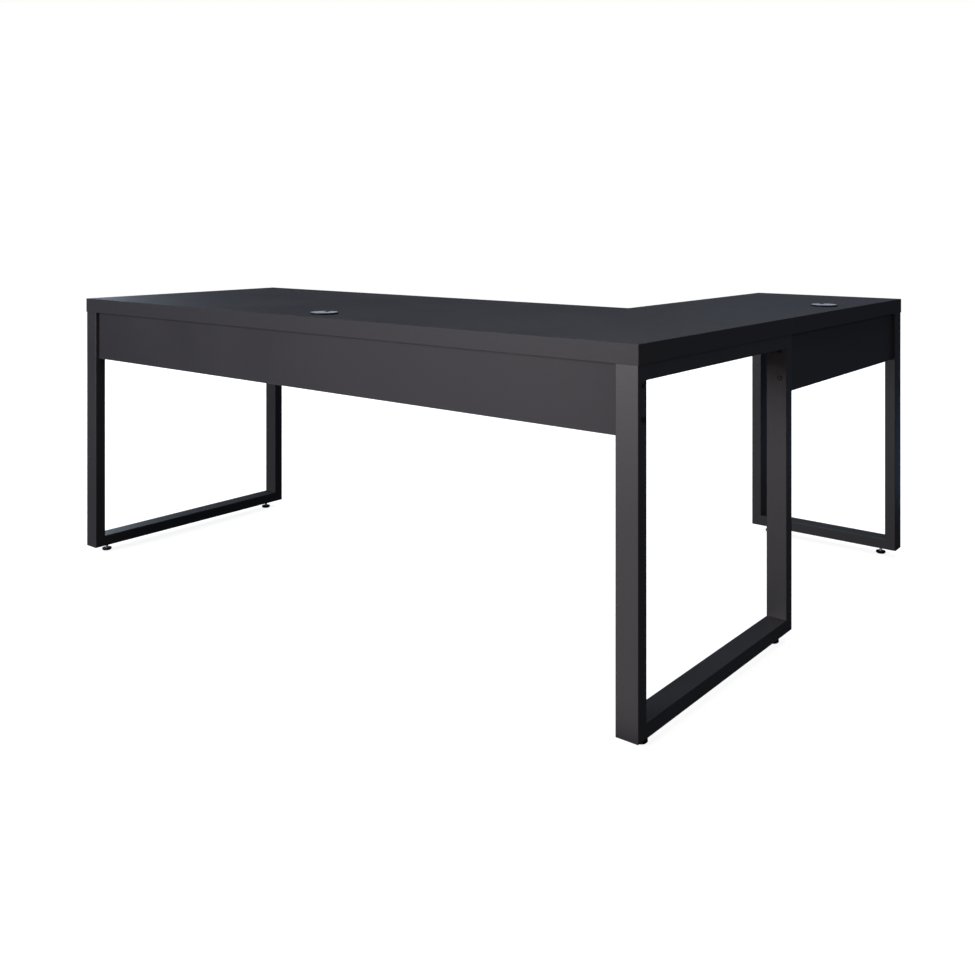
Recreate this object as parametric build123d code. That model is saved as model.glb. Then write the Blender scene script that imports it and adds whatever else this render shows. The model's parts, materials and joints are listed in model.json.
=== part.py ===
from build123d import *
import os

# Corner desk: a long main desk top with a narrower return top butted against its inner long edge
# at the right-hand end.  Three closed frames of rectangular steel tube carry the tops, two narrow
# modesty panels brace the frames, and every frame stands on two levelling feet.
#
# Frame of reference, in millimetres: origin on the floor under the middle of the outline,
# +X along the main top towards the return, +Y from the visitor's side to the user's side, +Z up.
# "Outer" is the side that faces the visitor (-Y, or +X on the return); "inner" is the user's side.

# ---- Desk tops
main_length = 1900.0            # along X
main_depth = 700.0              # along Y
return_width = 450.0            # along X
return_length = 800.0           # along Y, from the seam
desk_height = 755.0             # floor to working surface
top_thickness = 40.0
band_thickness = 2.0            # glued edge bands
edge_radius = 1.0               # rounding of every outer edge of the bands

# ---- Frames
tube_width = 50.0               # across the frame's plane
tube_depth = 30.0               # in the frame's plane
tube_wall = 2.0
tube_corner_radius = 1.5
frame_inset = 1.3               # frame behind the edges of the top

# ---- Levelling feet
foot_gap = 20.0                 # floor to underside of the frames
foot_from_end = 50.0            # foot axis to the end face of its frame
pad_radius = 13.5
pad_height = 6.0
pad_bevel = 2.0                 # around the lower edge
pad_floor = 1.5                 # plastic under the stem's collar
pad_lip = 1.2                   # plastic over the stem's collar
stem_radius = 4.0
stem_above_rail_underside = 15.0
collar_step = 2.0               # collar beyond the stem, all round
collar_play = 0.05              # collar to pad, along the axis and around it
thread_play = 0.05              # radial, screw in its nut, for every thread
foot_insert_wall = 1.5          # around the thread
foot_insert_flange_step = 1.0   # flange beyond the body, all round
foot_insert_flange = 1.5
foot_insert_length = 14.0       # above the rail's underside
foot_insert_bulge_step = 1.5    # the collapsed collar inside the tube, beyond the body
foot_insert_bulge = 4.0

# ---- Modesty panels
panel_thickness = 15.0
panel_height = 135.0
panel_gap_under_top = 1.0
panel_setback = 10.0            # behind the outer face of the legs
panel_band = 1.0                # band on the lower edge

# ---- Connecting bolts of the panels
bolt_spacing = 64.0             # vertical
bolt_radius = 3.0
bolt_head_overhang = 3.0        # head beyond the shank, all round
bolt_head_height = 2.5
bolt_head_rounding = 1.0
bolt_socket_flats = 4.0
bolt_socket_depth = 1.8
bolt_hole_play = 0.5            # radial
bolt_nut_depth = 34.0           # cross nut's axis behind the end of the panel
bolt_past_nut = 8.0             # bolt beyond the cross nut's axis
bolt_hole_end = 3.0             # hole beyond the bolt's tip
cross_nut_wall = 2.0            # around the thread
cross_nut_skin = 2.0            # panel left in front of the cross nut

# ---- Screws between the top rails and the tops
top_screw_from_end = 100.0      # outermost screws to the end face of the frame
long_rail_screws = 3
short_rail_screws = 2
top_screw_radius = 3.0
top_screw_in_board = 15.0
top_screw_head_overhang = 3.0
top_screw_head_height = 3.0
top_screw_hole_play = 0.5       # radial, in the rail
board_insert_wall = 1.5         # around the thread
board_insert_length = 13.0
board_hole_past_screw = 3.0     # beyond the screw's tip

# ---- Joint between the two tops
plate_width = 60.0              # along the seam
plate_length = 140.0            # across the seam
plate_thickness = 3.0
plate_corner_radius = 8.0
plate_from_side = 120.0         # plate centre to the return top's long edges
plate_screw_radius = 2.25
plate_screw_depth = 20.0
plate_screw_head_overhang = 2.25
plate_screw_head_height = 2.2
plate_screw_margin = 15.0       # screw axis to the plate's edges
pan_head_rounding = 0.45        # of the height of a pan head, for every pan-headed screw
dowel_radius = 4.0
dowel_length = 40.0
dowel_from_side = 60.0          # outermost dowels to the return top's long edges
dowel_count = 3

# ---- Cable grommets
main_grommet_from_left_end = 960.0
main_grommet_from_outer_edge = 80.0
main_notch_angle = 115.0        # direction of the cable notch, counter-clockwise from +X
return_grommet_from_rear_end = 410.0
return_grommet_from_outer_edge = 75.0
return_notch_angle = 127.0
grommet_hole_radius = 30.0
sleeve_fit = 0.2                # radial, sleeve in the hole
sleeve_wall = 1.8
sleeve_length = 24.0            # below the working surface
flange_overlap = 4.0            # flange beyond the edge of the hole
flange_height = 3.2
flange_rounding = 0.8
cap_step = 1.0                  # cap behind the flange's edge
cap_thickness = 1.2
cap_rounding = 0.5
cap_tab_fit = 0.3               # radial, tabs in the sleeve
cap_tab_wall = 1.5
cap_tab_width = 8.0
cap_tab_length = 8.0
notch_width = 12.0
notch_end_from_centre = 6.0

# ---- Radii of pieces that fit each other
collar_radius = stem_radius + collar_step
foot_insert_body_radius = stem_radius + foot_insert_wall
foot_insert_flange_radius = foot_insert_body_radius + foot_insert_flange_step
foot_insert_bulge_radius = foot_insert_body_radius + foot_insert_bulge_step
bolt_head_radius = bolt_radius + bolt_head_overhang
bolt_hole_radius = bolt_radius + bolt_hole_play
cross_nut_radius = bolt_radius + cross_nut_wall
cross_nut_length = panel_thickness - cross_nut_skin
top_screw_head_radius = top_screw_radius + top_screw_head_overhang
top_screw_hole_radius = top_screw_radius + top_screw_hole_play
board_insert_radius = top_screw_radius + board_insert_wall
board_hole_depth = top_screw_in_board + board_hole_past_screw
plate_screw_head_radius = plate_screw_radius + plate_screw_head_overhang
flange_radius = grommet_hole_radius + flange_overlap
cap_radius = flange_radius - cap_step
sleeve_radius = grommet_hole_radius - sleeve_fit
sleeve_bore_radius = sleeve_radius - sleeve_wall
tab_radius = sleeve_bore_radius - cap_tab_fit

# ---- Places worked out from the sizes
x_right = main_length / 2
x_left = -x_right
x_return_inner = x_right - return_width
y_outer = -(main_depth + return_length) / 2
y_seam = y_outer + main_depth
y_rear = y_seam + return_length
z_underside = desk_height - top_thickness
frame_height = z_underside - foot_gap
long_frame = main_depth - 2 * frame_inset
short_frame = return_width - 2 * frame_inset

# The middle plane of each frame and the outer face of its legs.
x_left_frame = x_left + frame_inset + tube_width / 2
x_right_frame = x_right - frame_inset - tube_width / 2
y_return_frame = y_rear - frame_inset - tube_width / 2
x_leg_face = x_right - frame_inset
y_leg_face = y_outer + frame_inset

# The modesty panels' middle planes, ends and heights.
y_main_panel = y_leg_face + panel_setback + panel_thickness / 2
x_return_panel = x_leg_face - panel_setback - panel_thickness / 2
x_main_panel_ends = (x_left_frame + tube_width / 2, x_right_frame - tube_width / 2)
y_return_panel_ends = (y_leg_face + long_frame, y_return_frame - tube_width / 2)
z_panel_top = z_underside - panel_gap_under_top
z_panel_bottom = z_panel_top - panel_height
z_panel_middle = z_panel_top - panel_height / 2
bolt_heights = (z_panel_middle - bolt_spacing / 2, z_panel_middle + bolt_spacing / 2)

main_grommet = (x_left + main_grommet_from_left_end, y_outer + main_grommet_from_outer_edge)
return_grommet = (x_right - return_grommet_from_outer_edge, y_rear - return_grommet_from_rear_end)

# Each frame: (point where its outer end face meets the middle plane, turn about Z, length).
# A frame's own X runs from its outer leg to its inner leg.
frames = {
    "left": ((x_left_frame, y_leg_face), 90, long_frame),
    "right": ((x_right_frame, y_leg_face), 90, long_frame),
    "return": ((x_leg_face, y_return_frame), 180, short_frame),
}


def spread(first, last, count):
    """Evenly spaced values from first to last."""
    return [first + (last - first) * index / (count - 1) for index in range(count)]


def cylinder_between(start, end, radius):
    """A round rod from one point to another."""
    rod_axis = Vector(*end) - Vector(*start)
    return extrude(Plane(start, z_dir=rod_axis) * Circle(radius), rod_axis.length)


def upright(x, y, z_low, z_high, radius):
    """A vertical cylinder."""
    return cylinder_between((x, y, z_low), (x, y, z_high), radius)


def block(x_span, y_span, z_span):
    """A box between two values along each axis."""
    size = [high - low for low, high in (x_span, y_span, z_span)]
    return Pos(x_span[0], y_span[0], z_span[0]) * Box(*size, align=(Align.MIN,) * 3)


def frame_point(side, along, across=0.0):
    """X and Y of a place on a frame, measured from its outer end face."""
    (x, y), turn, length = frames[side]
    place = Location((x, y, 0), (0, 0, turn)) * Location((along, across, 0))
    return place.position.X, place.position.Y


# ---- Desk tops

def top_envelope(x_span, y_span):
    """A banded desk top's outer shape, with its edges rounded."""
    shape = block(x_span, y_span, (z_underside, desk_height))
    return fillet(shape.edges(), edge_radius)


def band_pieces(name, x_span, y_span):
    """The four edge bands: the two along X cover the ends of the two along Y."""
    shape = top_envelope(x_span, y_span)
    z_span = (z_underside, desk_height)
    x_low, x_high = x_span
    y_low, y_high = y_span
    y_between = (y_low + band_thickness, y_high - band_thickness)
    return {
        f"{name}_outer_y_band": shape & block(x_span, (y_low, y_low + band_thickness), z_span),
        f"{name}_inner_y_band": shape & block(x_span, (y_high - band_thickness, y_high), z_span),
        f"{name}_left_band": shape & block((x_low, x_low + band_thickness), y_between, z_span),
        f"{name}_right_band": shape & block((x_high - band_thickness, x_high), y_between, z_span),
    }


def board_core(x_span, y_span):
    """The board inside the edge bands."""
    return block(
        (x_span[0] + band_thickness, x_span[1] - band_thickness),
        (y_span[0] + band_thickness, y_span[1] - band_thickness),
        (z_underside, desk_height),
    )


def screw_places(side):
    """X and Y of each screw through a frame's top rail."""
    length = frames[side][2]
    count = short_rail_screws if side == "return" else long_rail_screws
    places = spread(top_screw_from_end, length - top_screw_from_end, count)
    return [frame_point(side, along) for along in places]


def dowel_places():
    """X of each dowel in the seam."""
    return spread(x_return_inner + dowel_from_side, x_right - dowel_from_side, dowel_count)


def dowels():
    """Wooden dowels across the seam, half in each top."""
    z = desk_height - top_thickness / 2
    half = dowel_length / 2
    return [
        cylinder_between((x, y_seam - half, z), (x, y_seam + half, z), dowel_radius)
        for x in dowel_places()
    ]


def plate_centres():
    """X of each joining plate."""
    return (x_return_inner + plate_from_side, x_right - plate_from_side)


def plate_screw_places():
    """X and Y of each screw in the joining plates."""
    dx = plate_width / 2 - plate_screw_margin
    dy = plate_length / 2 - plate_screw_margin
    return [
        (x + side_x * dx, y_seam + side_y * dy)
        for x in plate_centres()
        for side_x in (-1, 1)
        for side_y in (-1, 1)
    ]


def cut_board(board, grommet, sides):
    """Make the grommet hole and the fixing holes in a desk top's board."""
    board -= upright(*grommet, z_underside, desk_height, grommet_hole_radius)
    for side in sides:
        for place in screw_places(side):
            insert_top = z_underside + board_insert_length
            board -= upright(*place, z_underside, insert_top, board_insert_radius)
            board -= upright(*place, insert_top, z_underside + board_hole_depth, top_screw_radius)
    for place in plate_screw_places():
        board -= upright(*place, z_underside, z_underside + plate_screw_depth, plate_screw_radius)
    for dowel in dowels():
        board -= dowel
    return board


def desk_tops():
    """Both boards and their edge bands."""
    main_spans = ((x_left, x_right), (y_outer, y_seam))
    return_spans = ((x_return_inner, x_right), (y_seam, y_rear))
    nodes = {
        "main_top": cut_board(board_core(*main_spans), main_grommet, ("left", "right")),
        "return_top": cut_board(board_core(*return_spans), return_grommet, ("return",)),
    }
    nodes.update(band_pieces("main_top", *main_spans))
    nodes.update(band_pieces("return_top", *return_spans))
    for dowel in dowels():
        nodes["main_top_inner_y_band"] -= dowel
        nodes["return_top_outer_y_band"] -= dowel
    return nodes


# ---- Joint between the tops

def joining_plates():
    """Flat steel plates under the seam, with their screw holes."""
    plates = []
    for x in plate_centres():
        outline = RectangleRounded(plate_width, plate_length, plate_corner_radius)
        plate = Pos(x, y_seam, z_underside - plate_thickness) * extrude(outline, plate_thickness)
        for place in plate_screw_places():
            if abs(place[0] - x) < plate_width / 2:
                plate -= upright(*place, z_underside - plate_thickness, z_underside, plate_screw_radius)
        plates.append(plate)
    return plates


def pan_screw(x, y, z_head, shank, radius, head_radius, head_height):
    """A screw pointing up, its head below the height z_head."""
    head = upright(x, y, z_head - head_height, z_head, head_radius)
    head = fillet(head.edges().sort_by(Axis.Z)[0], head_height * pan_head_rounding)
    return head + upright(x, y, z_head, z_head + shank, radius)


def plate_screws():
    """Chipboard screws of the joining plates."""
    shank = plate_thickness + plate_screw_depth
    return [
        pan_screw(x, y, z_underside - plate_thickness, shank,
                  plate_screw_radius, plate_screw_head_radius, plate_screw_head_height)
        for x, y in plate_screw_places()
    ]


# ---- Screws and threaded inserts between rails and tops

def top_screws(side):
    """Machine screws up through a top rail."""
    shank = tube_depth + top_screw_in_board
    return [
        pan_screw(x, y, z_underside - tube_depth, shank,
                  top_screw_radius, top_screw_head_radius, top_screw_head_height)
        for x, y in screw_places(side)
    ]


def board_inserts(sides):
    """Threaded metal sleeves in the underside of a board."""
    inserts = []
    for side in sides:
        for place in screw_places(side):
            z_top = z_underside + board_insert_length
            insert = upright(*place, z_underside, z_top, board_insert_radius)
            insert -= upright(*place, z_underside, z_top, top_screw_radius + thread_play)
            inserts.append(insert)
    return inserts


# ---- Frames

def mitred_tube(start, end, quarter_turn):
    """One rectangular tube of a frame, cut to 45 degrees at both ends.

    start and end lie on the tube's outer face, which is as long as the frame;
    quarter_turn is the direction from that face towards the middle of the frame.
    """
    length = (Vector(*end) - Vector(*start)).length
    run = (Vector(*end) - Vector(*start)).normalized()
    section_plane = Plane(Vector(*start) + quarter_turn * (tube_depth / 2), x_dir=quarter_turn, z_dir=run)
    outer = RectangleRounded(tube_depth, tube_width, tube_corner_radius)
    hollow = Rectangle(tube_depth - 2 * tube_wall, tube_width - 2 * tube_wall)
    tube = extrude(section_plane * (outer - hollow), length)
    face_plane = Plane(start, x_dir=run, z_dir=quarter_turn.cross(run))
    inward = 1 if face_plane.y_dir.dot(quarter_turn) > 0 else -1
    corners = [
        (0, 0),
        (length, 0),
        (length - tube_depth, inward * tube_depth),
        (tube_depth, inward * tube_depth),
    ]
    mitre = extrude(face_plane * make_face(Polyline(*corners, close=True)), tube_width, both=True)
    return tube & mitre


def frame_tubes(side):
    """The four tubes of a closed frame, in place."""
    (x, y), turn, length = frames[side]
    low, high = 0.0, frame_height
    place = Location((x, y, foot_gap), (0, 0, turn))
    along, up = Vector(1, 0, 0), Vector(0, 0, 1)
    tubes = {
        "outer_leg": mitred_tube((0, 0, low), (0, 0, high), along),
        "inner_leg": mitred_tube((length, 0, low), (length, 0, high), -along),
        "bottom_rail": mitred_tube((0, 0, low), (length, 0, low), up),
        "top_rail": mitred_tube((0, 0, high), (length, 0, high), -up),
    }
    return {f"{side}_frame_{part}": place * tube for part, tube in tubes.items()}


def foot_places(side):
    """X and Y of a frame's outer and inner foot."""
    length = frames[side][2]
    return {
        "outer": frame_point(side, foot_from_end),
        "inner": frame_point(side, length - foot_from_end),
    }


def drilled_frame(side):
    """A frame with the holes for its feet and for the screws into the top."""
    tubes = frame_tubes(side)
    for place in foot_places(side).values():
        hole = upright(*place, foot_gap, foot_gap + tube_wall, foot_insert_body_radius)
        tubes[f"{side}_frame_bottom_rail"] -= hole
    for place in screw_places(side):
        hole = upright(*place, z_underside - tube_depth, z_underside, top_screw_hole_radius)
        tubes[f"{side}_frame_top_rail"] -= hole
    return tubes


# ---- Modesty panels and their bolts

def panel_joints():
    """Each bolted end of a panel: its leg's node, and two points (x, y) on the bolts' axes.

    The first point lies under the bolts' heads, the second on the end of the panel.
    """
    half = tube_width / 2
    left_head = (x_left_frame - half, y_main_panel)
    right_head = (x_right_frame + half, y_main_panel)
    seam_head = (x_return_panel, y_return_panel_ends[0] - tube_depth)
    rear_head = (x_return_panel, y_return_frame + half)
    return {
        "main_panel_left": ("left_frame_outer_leg", left_head, (x_main_panel_ends[0], y_main_panel)),
        "main_panel_right": ("right_frame_outer_leg", right_head, (x_main_panel_ends[1], y_main_panel)),
        "return_panel_seam": ("right_frame_inner_leg", seam_head, (x_return_panel, y_return_panel_ends[0])),
        "return_panel_rear": ("return_frame_outer_leg", rear_head, (x_return_panel, y_return_panel_ends[1])),
    }


def bolt_line(head_point, end_point, z):
    """The point under a bolt's head and the bolt's direction."""
    head = Vector(*head_point, z)
    direction = (Vector(*end_point, z) - head).normalized()
    return head, direction


def connecting_bolt(head_point, end_point, z):
    """A round-headed bolt with a hexagon socket, from the leg's face into the cross nut."""
    head, direction = bolt_line(head_point, end_point, z)
    grip = (Vector(*end_point, z) - head).length + bolt_nut_depth + bolt_past_nut
    shank = extrude(Plane(head, z_dir=direction) * Circle(bolt_radius), grip)
    crown = extrude(Plane(head, z_dir=-direction) * Circle(bolt_head_radius), bolt_head_height)
    crown_rim = crown.edges().filter_by(GeomType.CIRCLE).sort_by(Axis(head, -direction))[-1]
    crown = fillet(crown_rim, bolt_head_rounding)
    outer_plane = Plane(head - direction * bolt_head_height, z_dir=direction)
    socket_radius = bolt_socket_flats / 3 ** 0.5
    socket = extrude(outer_plane * RegularPolygon(socket_radius, 6), bolt_socket_depth)
    return crown - socket + shank


def leg_hole(head_point, end_point, z):
    """The clearance hole of a bolt through its leg."""
    return cylinder_between((*head_point, z), (*end_point, z), bolt_hole_radius)


def panel_hole(head_point, end_point, z):
    """The clearance hole of a bolt in the end of its panel."""
    _, direction = bolt_line(head_point, end_point, z)
    start = Vector(*end_point, z)
    depth = bolt_nut_depth + bolt_past_nut + bolt_hole_end
    return extrude(Plane(start, z_dir=direction) * Circle(bolt_hole_radius), depth)


def cross_nut_body(head_point, end_point, z):
    """A round body across the bolt, let in from the panel's hidden face."""
    _, direction = bolt_line(head_point, end_point, z)
    hidden = Vector(-1, 0, 0) if abs(direction.Y) > abs(direction.X) else Vector(0, 1, 0)
    mouth = Vector(*end_point, z) + direction * bolt_nut_depth + hidden * (panel_thickness / 2)
    return extrude(Plane(mouth, z_dir=-hidden) * Circle(cross_nut_radius), cross_nut_length)


def cross_nut(head_point, end_point, z):
    """A cross nut with its threaded hole."""
    _, direction = bolt_line(head_point, end_point, z)
    end = Vector(*end_point, z)
    past_nut = end + direction * (bolt_nut_depth + 2 * cross_nut_radius)
    thread = cylinder_between(tuple(end), tuple(past_nut), bolt_radius + thread_play)
    return cross_nut_body(head_point, end_point, z) - thread


def panel_block(name, z_span):
    """A slice of a modesty panel between two heights."""
    half = panel_thickness / 2
    if name == "main":
        return block(x_main_panel_ends, (y_main_panel - half, y_main_panel + half), z_span)
    return block((x_return_panel - half, x_return_panel + half), y_return_panel_ends, z_span)


def modesty_panel(name):
    """A panel's board with its bolt and cross nut holes, and its lower edge band."""
    board = panel_block(name, (z_panel_bottom + panel_band, z_panel_top))
    for joint, (_, head_point, end_point) in panel_joints().items():
        if joint.startswith(name):
            for z in bolt_heights:
                board -= panel_hole(head_point, end_point, z)
                board -= cross_nut_body(head_point, end_point, z)
    band = panel_block(name, (z_panel_bottom, z_panel_bottom + panel_band))
    return {f"{name}_panel": board, f"{name}_panel_lower_band": band}


# ---- Levelling feet

def foot_pad(x, y):
    """The round plastic pad, with a socket that holds the stem's collar."""
    pad = upright(x, y, 0, pad_height, pad_radius)
    pad = chamfer(pad.edges().sort_by(Axis.Z)[0], pad_bevel)
    socket_top = pad_height - pad_lip
    pad -= upright(x, y, pad_floor, socket_top, collar_radius + collar_play)
    pad -= upright(x, y, socket_top, pad_height, stem_radius + thread_play)
    return pad


def foot_stem(x, y):
    """The threaded stem with its collar."""
    collar_top = pad_height - pad_lip - collar_play
    stem = upright(x, y, pad_floor, foot_gap + stem_above_rail_underside, stem_radius)
    return stem + upright(x, y, pad_floor, collar_top, collar_radius)


def foot_insert(x, y):
    """The threaded insert riveted into the bottom rail."""
    inner_wall = foot_gap + tube_wall
    insert = upright(x, y, foot_gap - foot_insert_flange, foot_gap, foot_insert_flange_radius)
    insert += upright(x, y, foot_gap, foot_gap + foot_insert_length, foot_insert_body_radius)
    insert += upright(x, y, inner_wall, inner_wall + foot_insert_bulge, foot_insert_bulge_radius)
    bore_low = foot_gap - foot_insert_flange
    insert -= upright(x, y, bore_low, foot_gap + foot_insert_length, stem_radius + thread_play)
    return insert


def levelling_feet():
    """Pads, stems and inserts of all the frames."""
    nodes = {}
    for side in frames:
        nodes[f"{side}_frame_foot_inserts"] = [foot_insert(*place) for place in foot_places(side).values()]
        for end, place in foot_places(side).items():
            nodes[f"{side}_{end}_foot_pad"] = foot_pad(*place)
            nodes[f"{side}_{end}_foot_stem"] = foot_stem(*place)
    return nodes


# ---- Cable grommets

def grommet_sleeve(x, y):
    """The sleeve in the board, with the flange that rests on the working surface."""
    flange_top = desk_height + flange_height
    flange = upright(x, y, desk_height, flange_top, flange_radius)
    flange = fillet(flange.edges().sort_by(Axis.Z)[-1], flange_rounding)
    body = upright(x, y, desk_height - sleeve_length, desk_height, sleeve_radius)
    bore = upright(x, y, desk_height - sleeve_length, flange_top, sleeve_bore_radius)
    return flange + body - bore


def grommet_cap(x, y, notch_angle):
    """The lift-off cap: a disc with a cable notch, and three tabs that grip the sleeve."""
    seat = desk_height + flange_height
    disc = upright(x, y, seat, seat + cap_thickness, cap_radius)
    disc = fillet(disc.edges().sort_by(Axis.Z)[-1], cap_rounding)
    slot_length = cap_radius * 2
    slot_middle = notch_end_from_centre + slot_length / 2
    slot = extrude(SlotOverall(slot_length, notch_width), cap_thickness)
    cap = disc - Pos(x, y, seat) * Rot(0, 0, notch_angle) * Pos(slot_middle, 0, 0) * slot
    ring = Circle(tab_radius) - Circle(tab_radius - cap_tab_wall)
    for quarter in (1, 2, 3):
        sector = Pos(tab_radius, 0) * Rectangle(tab_radius, cap_tab_width)
        tab = extrude(Rot(0, 0, notch_angle + 90 * quarter) * sector & ring, cap_tab_length)
        cap += Pos(x, y, seat - cap_tab_length) * tab
    return cap


def grommets():
    """Both cable grommets."""
    return {
        "main_grommet_sleeve": grommet_sleeve(*main_grommet),
        "main_grommet_cap": grommet_cap(*main_grommet, main_notch_angle),
        "return_grommet_sleeve": grommet_sleeve(*return_grommet),
        "return_grommet_cap": grommet_cap(*return_grommet, return_notch_angle),
    }


# ---- The whole desk

def frames_and_bolts():
    """The three frames, drilled for the panels' bolts, and those bolts."""
    nodes = {}
    for side in frames:
        nodes.update(drilled_frame(side))
    for joint, (leg, head_point, end_point) in panel_joints().items():
        for z in bolt_heights:
            nodes[leg] -= leg_hole(head_point, end_point, z)
        nodes[f"{joint}_bolts"] = [connecting_bolt(head_point, end_point, z) for z in bolt_heights]
    for panel in ("main", "return"):
        nodes[f"{panel}_panel_cross_nuts"] = [
            cross_nut(head_point, end_point, z)
            for joint, (_, head_point, end_point) in panel_joints().items()
            if joint.startswith(panel)
            for z in bolt_heights
        ]
    return nodes


def all_nodes():
    """Every piece of the desk by its node name; a list is a group of identical pieces."""
    nodes = desk_tops()
    nodes["seam_dowels"] = dowels()
    nodes["joining_plates"] = joining_plates()
    nodes["joining_plate_screws"] = plate_screws()
    for side in frames:
        nodes[f"{side}_frame_top_screws"] = top_screws(side)
    nodes["main_top_inserts"] = board_inserts(("left", "right"))
    nodes["return_top_inserts"] = board_inserts(("return",))
    nodes.update(frames_and_bolts())
    nodes.update(modesty_panel("main"))
    nodes.update(modesty_panel("return"))
    nodes.update(levelling_feet())
    nodes.update(grommets())
    return nodes


os.makedirs("parts", exist_ok=True)
for name, piece in all_nodes().items():
    solids = piece if isinstance(piece, list) else [piece]
    shape = Compound(children=[solid for item in solids for solid in item.solids()])
    export_step(shape, f"parts/{name}.step")
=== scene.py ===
import json
import math

import bpy
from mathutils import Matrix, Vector


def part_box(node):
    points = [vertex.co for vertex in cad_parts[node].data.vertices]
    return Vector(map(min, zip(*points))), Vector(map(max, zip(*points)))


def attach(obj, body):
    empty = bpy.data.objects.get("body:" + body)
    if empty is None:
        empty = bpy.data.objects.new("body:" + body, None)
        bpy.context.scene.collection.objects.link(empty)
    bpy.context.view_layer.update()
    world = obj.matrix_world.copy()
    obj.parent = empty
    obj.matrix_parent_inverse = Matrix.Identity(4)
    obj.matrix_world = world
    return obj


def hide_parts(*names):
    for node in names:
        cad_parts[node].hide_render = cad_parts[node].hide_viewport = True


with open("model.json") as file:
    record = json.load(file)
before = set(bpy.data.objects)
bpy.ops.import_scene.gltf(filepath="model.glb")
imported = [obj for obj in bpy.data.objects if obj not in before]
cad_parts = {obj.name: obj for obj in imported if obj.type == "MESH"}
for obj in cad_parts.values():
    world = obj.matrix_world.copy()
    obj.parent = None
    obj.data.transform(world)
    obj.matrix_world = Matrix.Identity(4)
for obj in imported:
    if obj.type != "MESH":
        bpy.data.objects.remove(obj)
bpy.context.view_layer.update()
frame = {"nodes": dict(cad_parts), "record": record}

# A black L-shaped desk: melamine tops and modesty panels on powder-coated steel frames.
# Metres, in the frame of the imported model: +X along the main top, +Z up, floor at Z = 0.

MM = 0.001

# ---- Camera: level, on the visitor's side, with the picture shifted down
CAMERA_PLACE = (1.930, -2.388, 0.972)
CAMERA_AZIMUTH = 38.77
CAMERA_LENS = 38.17
CAMERA_SENSOR = 36
CAMERA_SHIFT = (-0.0083, -0.2687)

# ---- Threaded stems of the levelling feet
THREAD_PITCH = 1.25 * MM
THREAD_DEPTH = 0.6 * MM
THREAD_RINGS_PER_TURN = 6
THREAD_SIDES = 28
COLLAR_BELOW_PAD_TOP = 1.3 * MM

# ---- Floor
FLOOR_HALF_SIZE = 30.0
FLOOR_GLOW = (0.86, 1.0)        # near the desk, far from it
FLOOR_GLOW_REACH = (1.5, 5.0)   # where the glow starts to rise, and where it is full

# ---- Materials
NOISE_RANGE = (0.3, 0.7)        # the part of a noise's values that a ramp spreads out
EDGE_LIKENESS = (0.80, 0.98)    # softened normal against true normal: on an edge, off it
WEAR_AND_HIGHLIGHT_PATCHES = (0.35, 1.0)      # how much of the edge wear and painted highlight shows, from patch to patch
WEAR_AND_HIGHLIGHT_PATCH_SIZE = 20 * MM
WEAR_AND_HIGHLIGHT_SAMPLES = 6                # rays that soften the normal
PAINTED_REFLECTION_FACING = (0.9, 0.99)            # a normal's Z where the painted reflection begins and where it is full

FEET = [f"{side}_{end}" for side in ("left", "right", "return") for end in ("outer", "inner")]

# Soft lights: name, place, target, size, watts, colour, and whether glossy surfaces show it.
LIGHTS = [
    ("front_light", (-1.45, -4.8, 1.5), (0, -0.7, 0.5), (2.4, 2.9), 206, (1.0, 0.965, 1.0), True),
    ("overhead_light", (0.2, 0.4, 4.2), (0.2, 0, 0.7), (4.0, 4.0), 100, (0.92, 0.94, 1.0), True),
    ("right_light", (4.6, -1.6, 2.6), (0.9, 0, 0.5), (2.0, 2.0), 42, (1.0, 0.90, 0.86), True),
    ("left_light", (-5.0, 0.5, 1.8), (0, 0, 0.5), (2.5, 2.5), 42, (0.72, 0.84, 1.0), True),
    ("back_light", (-3.6, 4.4, 3.4), (0, -0.3, 0.6), (4.0, 2.5), 170, (0.75, 0.87, 1.0), False),
    ("sky_light", (-1.2, 6.5, 2.2), (0, 0, 0.6), (3.0, 1.6), 3, (0.62, 0.82, 1.0), True),
    ("front_bounce", (0.35, -1.8, 0.01), (0.35, -1.8, 1), (1.3, 2.0), 6, (1.0, 0.84, 0.82), True),
    ("rear_bounce", (1.6, 2.2, 0.01), (1.6, 2.2, 1), (1.2, 1.8), 1.3, (0.37, 0.60, 1.0), True),
]


# ---- Material helpers

def noise(tree, size, detail=2.0, stretch=(1, 1, 1)):
    """Noise with features about size metres across; a stretch under 1 draws them out along an axis."""
    source = tree.nodes.new("ShaderNodeTexCoord")
    mapping = tree.nodes.new("ShaderNodeMapping")
    mapping.inputs["Scale"].default_value = stretch
    tree.links.new(source.outputs["Object"], mapping.inputs["Vector"])
    node = tree.nodes.new("ShaderNodeTexNoise")
    node.inputs["Scale"].default_value = 1 / size
    node.inputs["Detail"].default_value = detail
    tree.links.new(mapping.outputs["Vector"], node.inputs["Vector"])
    return node.outputs["Fac"]


def colour_between(tree, factor, dark, light):
    """Two colours blended by a noise."""
    ramp = tree.nodes.new("ShaderNodeValToRGB")
    for element, position, colour in zip(ramp.color_ramp.elements, NOISE_RANGE, (dark, light)):
        element.position = position
        element.color = (*colour, 1)
    tree.links.new(factor, ramp.inputs["Fac"])
    return ramp.outputs["Color"]


def value_between(tree, factor, low, high, span=NOISE_RANGE):
    """A number that runs from low to high while a factor crosses a span."""
    node = tree.nodes.new("ShaderNodeMapRange")
    node.inputs["From Min"].default_value, node.inputs["From Max"].default_value = span
    node.inputs["To Min"].default_value = low
    node.inputs["To Max"].default_value = high
    tree.links.new(factor, node.inputs["Value"])
    return node.outputs["Result"]


def mixed(tree, factor):
    """A colour mix node driven by a factor."""
    mix = tree.nodes.new("ShaderNodeMix")
    mix.data_type = "RGBA"
    tree.links.new(factor, mix.inputs["Factor"])
    return mix


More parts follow.
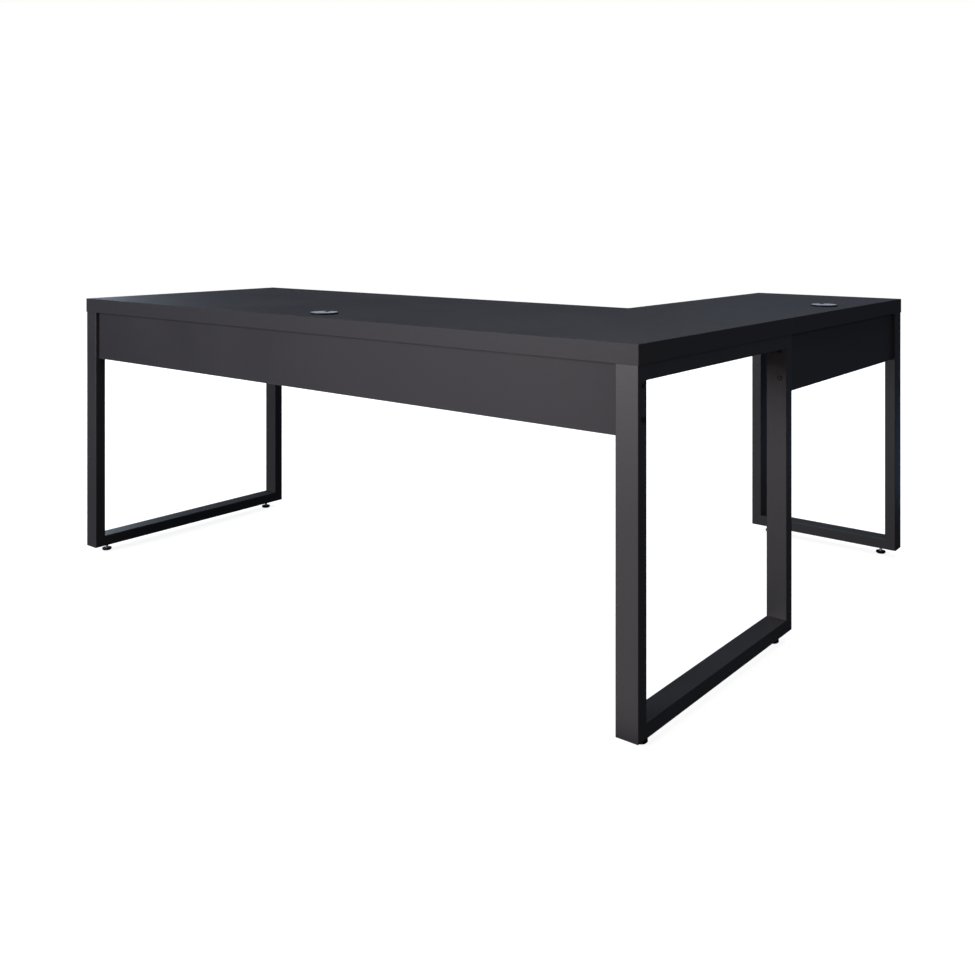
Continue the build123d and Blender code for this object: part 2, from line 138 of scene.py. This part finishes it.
def worn_and_highlit_edges(tree, fresh, wear_and_highlight_colour, radius, share):
    """The fresh colour with a share of a lighter one near edges, in uneven patches: partly edge wear,
    partly a painted highlight along the edges.
    """
    bevel = tree.nodes.new("ShaderNodeBevel")
    bevel.samples = WEAR_AND_HIGHLIGHT_SAMPLES
    bevel.inputs["Radius"].default_value = radius
    geometry = tree.nodes.new("ShaderNodeNewGeometry")
    likeness = tree.nodes.new("ShaderNodeVectorMath")
    likeness.operation = "DOT_PRODUCT"
    tree.links.new(bevel.outputs["Normal"], likeness.inputs[0])
    tree.links.new(geometry.outputs["Normal"], likeness.inputs[1])
    amount = tree.nodes.new("ShaderNodeMath")
    amount.operation = "MULTIPLY"
    edge = value_between(tree, likeness.outputs["Value"], share, 0.0, EDGE_LIKENESS)
    patches = value_between(tree, noise(tree, WEAR_AND_HIGHLIGHT_PATCH_SIZE, detail=4), *WEAR_AND_HIGHLIGHT_PATCHES)
    tree.links.new(edge, amount.inputs[0])
    tree.links.new(patches, amount.inputs[1])
    mix = mixed(tree, amount.outputs["Value"])
    tree.links.new(fresh, mix.inputs["A"])
    # Painted highlight and wear: the lighter colour goes where the softened normal parts from the true
    # one, on the edges.
    mix.inputs["B"].default_value = (*wear_and_highlight_colour, 1)
    return mix.outputs["Result"]


def new_material(name, specular, metallic=0.0):
    """A material, its node tree and its shader, with the constant values on the shader's sockets."""
    material = bpy.data.materials.new(name)
    material.use_nodes = True
    shader = material.node_tree.nodes["Principled BSDF"]
    shader.inputs["Metallic"].default_value = metallic
    shader.inputs["Specular IOR Level"].default_value = specular
    return material, material.node_tree, shader


def connect(tree, shader, colour, roughness, bumps):
    """Link a colour, a roughness, and bumps given as (height, depth in metres, strength)."""
    tree.links.new(colour, shader.inputs["Base Color"])
    tree.links.new(roughness, shader.inputs["Roughness"])
    normal = None
    for height, depth, strength in bumps:
        node = tree.nodes.new("ShaderNodeBump")
        node.inputs["Distance"].default_value = depth
        node.inputs["Strength"].default_value = strength
        tree.links.new(height, node.inputs["Height"])
        if normal is not None:
            tree.links.new(normal, node.inputs["Normal"])
        normal = node.outputs["Normal"]
    tree.links.new(normal, shader.inputs["Normal"])


# ---- Materials

def melamine():
    """Black melamine: a fine pearl texture with a faint cloudiness."""
    material, tree, shader = new_material("black_melamine", 0.25)
    clouds = noise(tree, 250 * MM, detail=3)
    colour = colour_between(tree, clouds, (0.0262, 0.0254, 0.0298), (0.0300, 0.0292, 0.0340))
    bumps = [(noise(tree, 0.6 * MM), 0.03 * MM, 0.5), (noise(tree, 6 * MM), 0.02 * MM, 0.3)]
    connect(tree, shader, colour, value_between(tree, clouds, 0.46, 0.54), bumps)
    return material


def edge_band():
    """Black edging: faint lines along its length, and lighter edges, partly a little wear and partly a
    painted highlight.
    """
    material, tree, shader = new_material("black_edge_band", 0.25)
    lines = noise(tree, 1.2 * MM, detail=3, stretch=(0.03, 0.03, 1))
    colour = colour_between(tree, lines, (0.0280, 0.0272, 0.0315), (0.0310, 0.0302, 0.0350))
    # Painted highlight: the lighter edge colour also stands in for the fine light line along the
    # band's edges.
    colour = worn_and_highlit_edges(tree, colour, (0.090, 0.090, 0.100), 1.2 * MM, 0.6)
    bumps = [(lines, 0.02 * MM, 0.4), (noise(tree, 0.7 * MM), 0.02 * MM, 0.4)]
    connect(tree, shader, colour, value_between(tree, lines, 0.46, 0.54), bumps)
    return material


def powder_coat():
    """Satin black powder coat on steel tube: a fine orange peel, and lighter edges, partly a little
    wear and partly a painted highlight.
    """
    material, tree, shader = new_material("black_powder_coat", 0.38)
    clouds = noise(tree, 120 * MM, detail=3)
    colour = colour_between(tree, clouds, (0.0275, 0.0262, 0.0295), (0.0320, 0.0305, 0.0340))
    # Painted highlight: the lighter edge colour also stands in for light catching the tube edges.
    colour = worn_and_highlit_edges(tree, colour, (0.060, 0.058, 0.062), 1.0 * MM, 0.5)
    peel = noise(tree, 1.6 * MM)
    bumps = [(peel, 0.05 * MM, 0.5), (noise(tree, 0.3 * MM), 0.01 * MM, 0.4)]
    connect(tree, shader, colour, value_between(tree, peel, 0.38, 0.46), bumps)
    return material


def black_oxide():
    """Blackened screws and bolts."""
    material, tree, shader = new_material("black_fasteners", 0.3)
    stains = noise(tree, 3 * MM, detail=4)
    colour = colour_between(tree, stains, (0.0060, 0.0060, 0.0065), (0.0120, 0.0118, 0.0120))
    bumps = [(noise(tree, 0.4 * MM), 0.02 * MM, 0.4)]
    connect(tree, shader, colour, value_between(tree, stains, 0.30, 0.40), bumps)
    return material


def zinc():
    """Dull zinc plating of the stems, inserts and nuts."""
    material, tree, shader = new_material("plated_steel", 0.5, metallic=0.5)
    stains = noise(tree, 2 * MM, detail=4)
    colour = colour_between(tree, stains, (0.62, 0.62, 0.62), (0.76, 0.76, 0.73))
    bumps = [(noise(tree, 0.3 * MM), 0.01 * MM, 0.4)]
    connect(tree, shader, colour, value_between(tree, stains, 0.25, 0.42), bumps)
    return material


def black_plastic():
    """Moulded black plastic of the foot pads and the grommet sleeves."""
    material, tree, shader = new_material("black_plastic", 0.12)
    grain = noise(tree, 0.5 * MM)
    clouds = noise(tree, 8 * MM, detail=3)
    colour = colour_between(tree, clouds, (0.0035, 0.0035, 0.0040), (0.0065, 0.0065, 0.0070))
    bumps = [(grain, 0.03 * MM, 0.5)]
    connect(tree, shader, colour, value_between(tree, grain, 0.52, 0.66), bumps)
    return material


def silver_plastic():
    """Black caps of the grommets, their upper faces silver-grey with a fine fleck: a painted
    reflection of a bright surround, laid on the faces that look up.
    """
    material, tree, shader = new_material("silver_plastic", 0.5, metallic=0.2)
    fleck = noise(tree, 0.35 * MM)
    # Painted reflection: the silver-grey colour stands in for the bright surround mirrored in the
    # cap's glossy black top.
    painted_reflection = colour_between(tree, fleck, (0.42, 0.44, 0.51), (0.52, 0.54, 0.61))
    source = tree.nodes.new("ShaderNodeTexCoord")
    direction = tree.nodes.new("ShaderNodeSeparateXYZ")
    tree.links.new(source.outputs["Normal"], direction.inputs["Vector"])
    # Up-facing faces get the painted reflection; all other faces keep the cap's own black.
    mix = mixed(tree, value_between(tree, direction.outputs["Z"], 0.0, 1.0, PAINTED_REFLECTION_FACING))
    mix.inputs["A"].default_value = (0.008, 0.008, 0.009, 1)
    tree.links.new(painted_reflection, mix.inputs["B"])
    bumps = [(fleck, 0.01 * MM, 0.4)]
    connect(tree, shader, mix.outputs["Result"], value_between(tree, fleck, 0.30, 0.42), bumps)
    return material


def beech():
    """Turned beech dowels, with the grain along them."""
    material, tree, shader = new_material("beech", 0.5)
    grain = noise(tree, 1.5 * MM, detail=5, stretch=(1, 0.06, 1))
    colour = colour_between(tree, grain, (0.48, 0.32, 0.18), (0.68, 0.50, 0.32))
    bumps = [(grain, 0.05 * MM, 0.5)]
    connect(tree, shader, colour, value_between(tree, grain, 0.5, 0.7), bumps)
    return material


def dress_nodes(materials):
    """Every CAD node gets the material of its slot."""
    for part in frame["record"]["subparts"]:
        node = frame["nodes"][part["node"]]
        node.data.materials.clear()
        node.data.materials.append(materials[part["material_slot"]])


# ---- Threaded stems

def add_mesh(name, vertices, faces, material):
    """A new mesh object in the scene."""
    mesh = bpy.data.meshes.new(name)
    mesh.from_pydata(vertices, [], faces)
    mesh.materials.append(material)
    item = bpy.data.objects.new(name, mesh)
    bpy.context.scene.collection.objects.link(item)
    return item


def ring(radius_at, height):
    """A level ring of points, its radius given for each angle."""
    angles = [2 * math.pi * side / THREAD_SIDES for side in range(THREAD_SIDES)]
    return [(radius_at(a) * math.cos(a), radius_at(a) * math.sin(a), height) for a in angles]


def thread_ring(radius, height):
    """A ring across a right-hand triangular thread."""
    def radius_at(angle):
        phase = (height / THREAD_PITCH - angle / (2 * math.pi)) % 1
        return radius - THREAD_DEPTH * abs(2 * phase - 1)
    return ring(radius_at, height)


def radius_above(node, height):
    """The largest radius of an upright CAD node above a height."""
    low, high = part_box(node)
    centre = (low + high) / 2
    above = [vertex.co for vertex in frame["nodes"][node].data.vertices if vertex.co.z > height]
    return max(math.hypot(co.x - centre.x, co.y - centre.y) for co in above)


def threaded_stem(foot, material):
    """A stem with a real helical thread, in the place of the plain CAD stem."""
    low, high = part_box(f"{foot}_foot_stem")
    centre = (low + high) / 2
    collar_radius = (high.x - low.x) / 2
    pad_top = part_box(f"{foot}_foot_pad")[1].z
    radius = radius_above(f"{foot}_foot_stem", pad_top)
    collar_top = pad_top - COLLAR_BELOW_PAD_TOP
    rings = [
        ring(lambda angle: collar_radius, low.z),
        ring(lambda angle: collar_radius, collar_top),
        ring(lambda angle: radius - THREAD_DEPTH, collar_top),
    ]
    count = int((high.z - pad_top) / THREAD_PITCH * THREAD_RINGS_PER_TURN)
    rings += [thread_ring(radius, pad_top + (high.z - pad_top) * i / count) for i in range(count + 1)]
    faces = [tuple(reversed(range(THREAD_SIDES)))]
    for start in range(0, (len(rings) - 1) * THREAD_SIDES, THREAD_SIDES):
        for side in range(THREAD_SIDES):
            a = start + side
            b = start + (side + 1) % THREAD_SIDES
            faces.append((a, b, b + THREAD_SIDES, a + THREAD_SIDES))
    last = (len(rings) - 1) * THREAD_SIDES
    faces.append(tuple(range(last, last + THREAD_SIDES)))
    vertices = [(x + centre.x, y + centre.y, z) for points in rings for x, y, z in points]
    stem = add_mesh(f"{foot}_threaded_stem", vertices, faces, material)
    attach(stem, f"{foot}_stem")
    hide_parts(f"{foot}_foot_stem")


# ---- Studio

def floor_material():
    """Pale matt floor with a light of its own: less near the desk, where its shadow falls."""
    material, tree, shader = new_material("studio_floor", 0.0)
    colour = colour_between(tree, noise(tree, 0.5), (0.49, 0.49, 0.49), (0.51, 0.51, 0.51))
    tree.links.new(colour, shader.inputs["Base Color"])
    shader.inputs["Roughness"].default_value = 0.9
    shader.inputs["Emission Color"].default_value = (1, 1, 1, 1)
    source = tree.nodes.new("ShaderNodeTexCoord")
    distance = tree.nodes.new("ShaderNodeVectorMath")
    distance.operation = "LENGTH"
    tree.links.new(source.outputs["Object"], distance.inputs[0])
    glow = value_between(tree, distance.outputs["Value"], *FLOOR_GLOW, FLOOR_GLOW_REACH)
    tree.links.new(glow, shader.inputs["Emission Strength"])
    return material


def studio_floor():
    """A large plain pale floor under the feet."""
    half = FLOOR_HALF_SIZE
    corners = [(-half, -half, 0), (half, -half, 0), (half, half, 0), (-half, half, 0)]
    floor = add_mesh("studio_floor", corners, [(0, 1, 2, 3)], floor_material())
    floor.visible_diffuse = False
    floor.visible_glossy = False


def studio_world():
    """White behind the desk for the camera, and a dim even surround for everything else."""
    world = bpy.data.worlds.new("studio")
    bpy.context.scene.world = world
    world.use_nodes = True
    tree = world.node_tree
    surround = tree.nodes["Background"]
    surround.inputs["Color"].default_value = (0.50, 0.75, 1.0, 1)
    surround.inputs["Strength"].default_value = 0.04
    backdrop = tree.nodes.new("ShaderNodeBackground")
    backdrop.inputs["Color"].default_value = (1, 1, 1, 1)
    rays = tree.nodes.new("ShaderNodeLightPath")
    mix = tree.nodes.new("ShaderNodeMixShader")
    tree.links.new(rays.outputs["Is Camera Ray"], mix.inputs["Fac"])
    tree.links.new(surround.outputs["Background"], mix.inputs[1])
    tree.links.new(backdrop.outputs["Background"], mix.inputs[2])
    tree.links.new(mix.outputs["Shader"], tree.nodes["World Output"].inputs["Surface"])


def softbox(name, place, target, size, power, colour, mirrored):
    """A rectangular soft light at a place, facing a target; mirrored if glossy surfaces show it."""
    light = bpy.data.lights.new(name, "AREA")
    light.shape = "RECTANGLE"
    light.size, light.size_y = size
    light.energy = power
    light.color = colour
    lamp = bpy.data.objects.new(name, light)
    lamp.location = place
    lamp.rotation_euler = (Vector(target) - Vector(place)).to_track_quat("-Z", "Y").to_euler()
    lamp.visible_glossy = mirrored
    lamp.visible_camera = False
    bpy.context.scene.collection.objects.link(lamp)


def studio_camera():
    """A level camera on the visitor's side, off the corner where the return begins."""
    data = bpy.data.cameras.new("camera")
    data.sensor_width = CAMERA_SENSOR
    data.lens = CAMERA_LENS
    data.shift_x, data.shift_y = CAMERA_SHIFT
    camera = bpy.data.objects.new("camera", data)
    camera.location = CAMERA_PLACE
    camera.rotation_euler = (math.pi / 2, 0, math.radians(CAMERA_AZIMUTH))
    bpy.context.scene.collection.objects.link(camera)
    bpy.context.scene.camera = camera


# ---- The scene

materials = {
    "black_melamine": melamine(),
    "black_edge_band": edge_band(),
    "black_powder_coat": powder_coat(),
    "black_fasteners": black_oxide(),
    "plated_steel": zinc(),
    "black_plastic": black_plastic(),
    "silver_plastic": silver_plastic(),
    "beech": beech(),
}
dress_nodes(materials)
for foot in FEET:
    threaded_stem(foot, materials["plated_steel"])
studio_floor()
studio_world()
for settings in LIGHTS:
    softbox(*settings)
studio_camera()
bpy.context.scene.view_settings.view_transform = "Standard"
